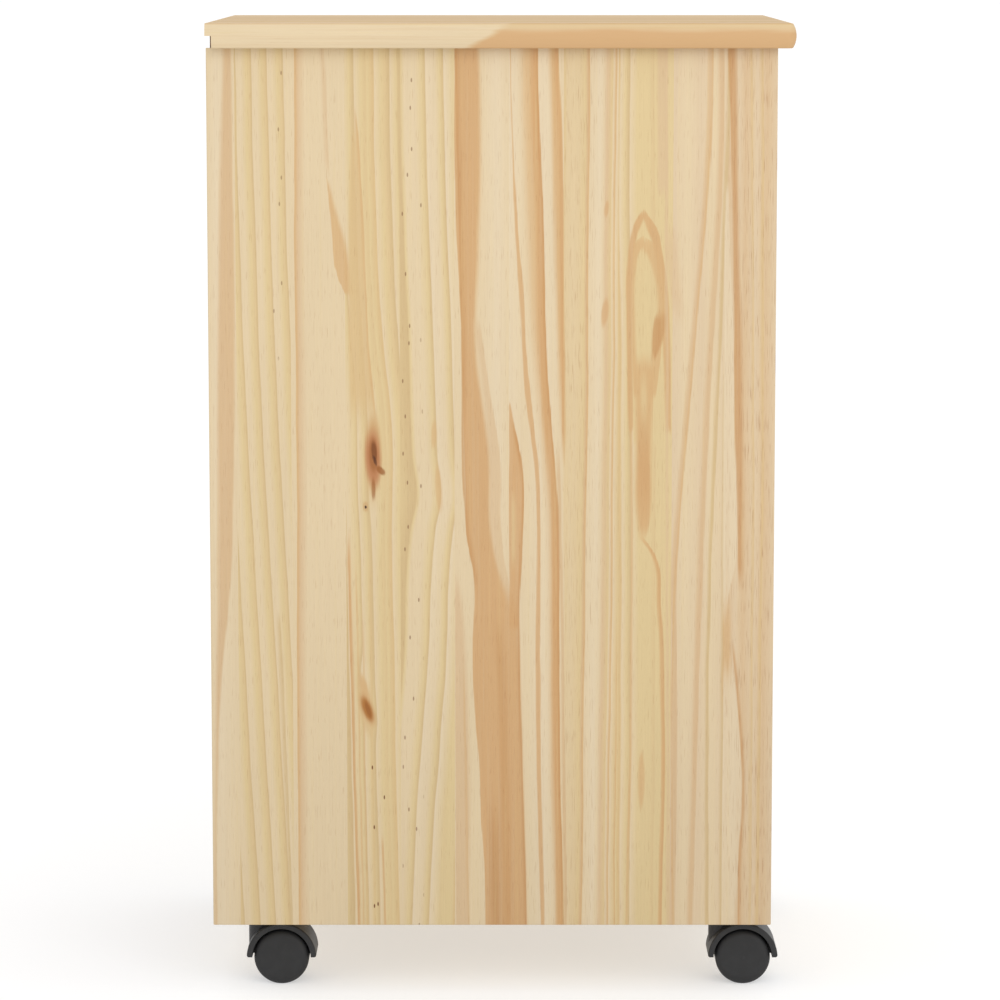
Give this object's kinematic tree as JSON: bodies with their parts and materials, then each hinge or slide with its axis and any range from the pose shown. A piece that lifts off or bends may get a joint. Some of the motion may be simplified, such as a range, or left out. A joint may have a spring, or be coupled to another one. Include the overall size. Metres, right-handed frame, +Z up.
{
  "type": "kitchen island cart",
  "caption": "Narrow pine kitchen cart on twin-wheel swivel casters, with a bullnosed top, solid sides, a drawer over a hinged door, and a shelf.",
  "frame": {"origin": "on the floor, under the middle of the bounding box", "axes": "+Z up, -Y towards someone facing the drawer and door, +X to that person's right"},
  "size_m": [0.42, 0.5, 0.84],
  "materials": {
    "pine": "satin clear lacquer on edge-glued pine",
    "box_wood": "satin",
    "plywood": "matte",
    "knob_wood": "satin",
    "dowel_wood": "matte",
    "hardboard": "matte",
    "zinc_steel": "zinc plated",
    "cast_zinc": "as cast",
    "brass_bush": "satin",
    "white_plastic": "matte",
    "black_plastic": "fine moulded texture",
    "wheel_plastic": "satin"
  },
  "bodies": {
    "carcass": {"top_board": "pine", "side_panel_left": "pine", "side_panel_right": "pine", "bottom_board": "pine", "divider_board": "pine", "shelf_board": "pine", "back_panel": "hardboard", "back_panel_nails": "zinc_steel", "cam_locks": "cast_zinc", "cam_bolts": "zinc_steel", "wood_dowels": "dowel_wood", "shelf_pins": "zinc_steel", "pivot_bushes": "brass_bush", "catch_body": "white_plastic", "slide_rail_left": "zinc_steel", "slide_rail_right": "zinc_steel", "rail_screws": "zinc_steel", "caster_screws": "zinc_steel", "caster_plate_front_left": "zinc_steel", "caster_plate_front_right": "zinc_steel", "caster_plate_rear_left": "zinc_steel", "caster_plate_rear_right": "zinc_steel", "caster_kingpin_front_left": "zinc_steel", "caster_kingpin_front_right": "zinc_steel", "caster_kingpin_rear_left": "zinc_steel", "caster_kingpin_rear_right": "zinc_steel"},
    "drawer": {"drawer_front": "pine", "drawer_side_left": "box_wood", "drawer_side_right": "box_wood", "drawer_back": "box_wood", "drawer_bottom": "plywood", "drawer_knob": "knob_wood", "drawer_knob_screw": "zinc_steel", "drawer_runner_left": "zinc_steel", "drawer_runner_right": "zinc_steel", "runner_screws": "zinc_steel"},
    "slide_cage_left": {"ball_cage_left": "zinc_steel"},
    "slide_cage_right": {"ball_cage_right": "zinc_steel"},
    "door": {"door_panel": "pine", "door_knob": "knob_wood", "door_knob_screw": "zinc_steel", "door_pivot_pins": "zinc_steel", "strike_plate": "zinc_steel"},
    "caster_front_left": {"caster_hood_front_left": "black_plastic", "caster_axle_front_left": "zinc_steel"},
    "wheel_front_left_a": {"caster_wheel_front_left_a": "wheel_plastic"},
    "wheel_front_left_b": {"caster_wheel_front_left_b": "wheel_plastic"},
    "caster_front_right": {"caster_hood_front_right": "black_plastic", "caster_axle_front_right": "zinc_steel"},
    "wheel_front_right_a": {"caster_wheel_front_right_a": "wheel_plastic"},
    "wheel_front_right_b": {"caster_wheel_front_right_b": "wheel_plastic"},
    "caster_rear_left": {"caster_hood_rear_left": "black_plastic", "caster_axle_rear_left": "zinc_steel"},
    "wheel_rear_left_a": {"caster_wheel_rear_left_a": "wheel_plastic"},
    "wheel_rear_left_b": {"caster_wheel_rear_left_b": "wheel_plastic"},
    "caster_rear_right": {"caster_hood_rear_right": "black_plastic", "caster_axle_rear_right": "zinc_steel"},
    "wheel_rear_right_a": {"caster_wheel_rear_right_a": "wheel_plastic"},
    "wheel_rear_right_b": {"caster_wheel_rear_right_b": "wheel_plastic"}
  },
  "joints": [
    {"name": "drawer_slide", "type": "slide", "parent": "carcass", "child": "drawer", "axis": [0, -1, 0], "range_m": [0, 0.29]},
    {"name": "cage_left_slide", "type": "slide", "parent": "carcass", "child": "slide_cage_left", "axis": [0, -1, 0], "range_m": [0, 0.146]},
    {"name": "cage_right_slide", "type": "slide", "parent": "carcass", "child": "slide_cage_right", "axis": [0, -1, 0], "range_m": [0, 0.146]},
    {"name": "door_hinge", "type": "hinge", "parent": "carcass", "child": "door", "pos_m": [-0.1665, -0.226, 0.3665], "axis": [0, 0, -1], "range_deg": [0, 95]},
    {"name": "caster_front_left_swivel", "type": "hinge", "parent": "carcass", "child": "caster_front_left", "pos_m": [-0.145, -0.195, 0.05], "axis": [0, 0, 1], "continuous": true},
    {"name": "wheel_front_left_a_spin", "type": "hinge", "parent": "caster_front_left", "child": "wheel_front_left_a", "pos_m": [-0.145, -0.2125, 0.0241], "axis": [1, 0, 0], "continuous": true},
    {"name": "wheel_front_left_b_spin", "type": "hinge", "parent": "caster_front_left", "child": "wheel_front_left_b", "pos_m": [-0.145, -0.2125, 0.0241], "axis": [1, 0, 0], "continuous": true},
    {"name": "caster_front_right_swivel", "type": "hinge", "parent": "carcass", "child": "caster_front_right", "pos_m": [0.145, -0.195, 0.05], "axis": [0, 0, 1], "continuous": true},
    {"name": "wheel_front_right_a_spin", "type": "hinge", "parent": "caster_front_right", "child": "wheel_front_right_a", "pos_m": [0.145, -0.2125, 0.0241], "axis": [1, 0, 0], "continuous": true},
    {"name": "wheel_front_right_b_spin", "type": "hinge", "parent": "caster_front_right", "child": "wheel_front_right_b", "pos_m": [0.145, -0.2125, 0.0241], "axis": [1, 0, 0], "continuous": true},
    {"name": "caster_rear_left_swivel", "type": "hinge", "parent": "carcass", "child": "caster_rear_left", "pos_m": [-0.145, 0.21, 0.05], "axis": [0, 0, 1], "continuous": true},
    {"name": "wheel_rear_left_a_spin", "type": "hinge", "parent": "caster_rear_left", "child": "wheel_rear_left_a", "pos_m": [-0.145, 0.1925, 0.0241], "axis": [1, 0, 0], "continuous": true},
    {"name": "wheel_rear_left_b_spin", "type": "hinge", "parent": "caster_rear_left", "child": "wheel_rear_left_b", "pos_m": [-0.145, 0.1925, 0.0241], "axis": [1, 0, 0], "continuous": true},
    {"name": "caster_rear_right_swivel", "type": "hinge", "parent": "carcass", "child": "caster_rear_right", "pos_m": [0.145, 0.21, 0.05], "axis": [0, 0, 1], "continuous": true},
    {"name": "wheel_rear_right_a_spin", "type": "hinge", "parent": "caster_rear_right", "child": "wheel_rear_right_a", "pos_m": [0.145, 0.1925, 0.0241], "axis": [1, 0, 0], "continuous": true},
    {"name": "wheel_rear_right_b_spin", "type": "hinge", "parent": "caster_rear_right", "child": "wheel_rear_right_b", "pos_m": [0.145, 0.1925, 0.0241], "axis": [1, 0, 0], "continuous": true}
  ],
  "couplings": [
    {"joint": "cage_left_slide", "follows": "drawer_slide", "ratio": 0.5},
    {"joint": "cage_right_slide", "follows": "drawer_slide", "ratio": 0.5}
  ]
}
